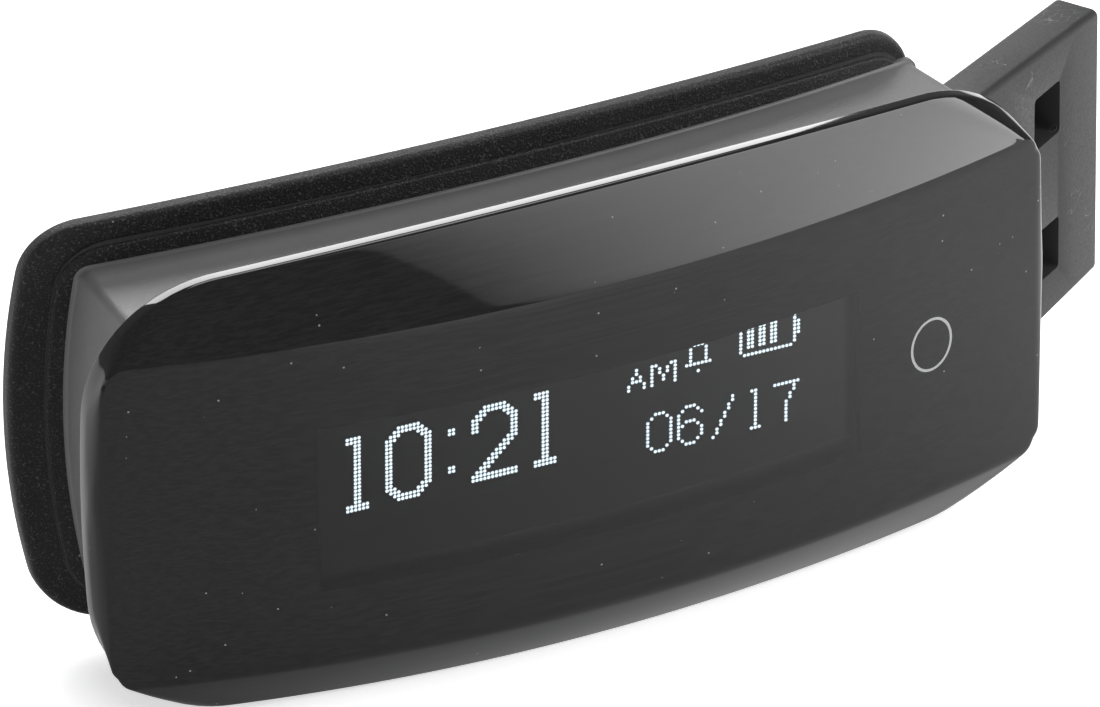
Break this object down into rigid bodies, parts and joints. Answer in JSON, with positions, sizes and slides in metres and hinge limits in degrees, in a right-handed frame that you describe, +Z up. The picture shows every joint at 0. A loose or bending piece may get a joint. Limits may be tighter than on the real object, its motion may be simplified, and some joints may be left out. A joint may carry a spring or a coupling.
{
  "type": "clip-in fitness tracker core",
  "caption": "Bowed wrist tracker core with a glossy lens over a lit display, a grip waist, a flanged back cover and a tilted USB charging blade.",
  "frame": {"origin": "middle of the underside of the whole object's box", "axes": "+X along the length towards the USB blade, +Y from the display to the wrist, +Z up, across the display's height"},
  "size_m": [0.0498, 0.0142, 0.0209],
  "materials": {
    "lens_plastic": "polished, faint brushed hairlines under the surface",
    "mask_film": "printed black",
    "ring_print": "printed light grey line",
    "adhesive": "thin foil",
    "housing_plastic": "satin",
    "cover_plastic": "fine grain",
    "blade_plastic": "matte with light scratches",
    "contact_gold": "gold plated",
    "panel_glass": "polished",
    "foam": "soft foam",
    "board_laminate": "solder mask",
    "chip_resin": "moulded resin",
    "polyimide": "amber film",
    "ceramic": "fired ceramic",
    "steel_can": "drawn can",
    "copper_foil": "foil",
    "spring_brass": "plated wire",
    "pouch_foil": "pouch foil",
    "weight_metal": "sintered"
  },
  "bodies": {
    "tracker": {"front_lens": "lens_plastic", "lens_mask": "mask_film", "touch_ring": "ring_print", "lens_gasket": "adhesive", "housing": "housing_plastic", "back_cover": "cover_plastic", "cover_gasket": "adhesive", "usb_blade": "blade_plastic", "usb_contact_1": "contact_gold", "usb_contact_2": "contact_gold", "usb_contact_3": "contact_gold", "usb_contact_4": "contact_gold", "display_cover_glass": "panel_glass", "display_base_glass": "panel_glass", "display_driver": "chip_resin", "display_flex": "polyimide", "display_foam_upper": "foam", "display_foam_lower": "foam", "main_board": "board_laminate", "mcu_chip": "chip_resin", "radio_chip": "chip_resin", "flash_chip": "chip_resin", "motion_sensor": "chip_resin", "crystal": "steel_can", "chip_antenna": "ceramic", "charge_chip": "chip_resin", "touch_pad": "copper_foil", "touch_spring": "spring_brass", "battery_cell": "pouch_foil", "battery_guard_board": "board_laminate", "motor_base": "steel_can", "motor_cup": "steel_can", "motor_shaft": "steel_can"},
    "vibration_weight": {"motor_weight": "weight_metal"}
  },
  "joints": [
    {"name": "motor_spin", "type": "hinge", "parent": "tracker", "child": "vibration_weight", "pos_m": [-0.01631, -0.00053, 0.01045], "axis": [0, 1, 0], "continuous": true}
  ]
}
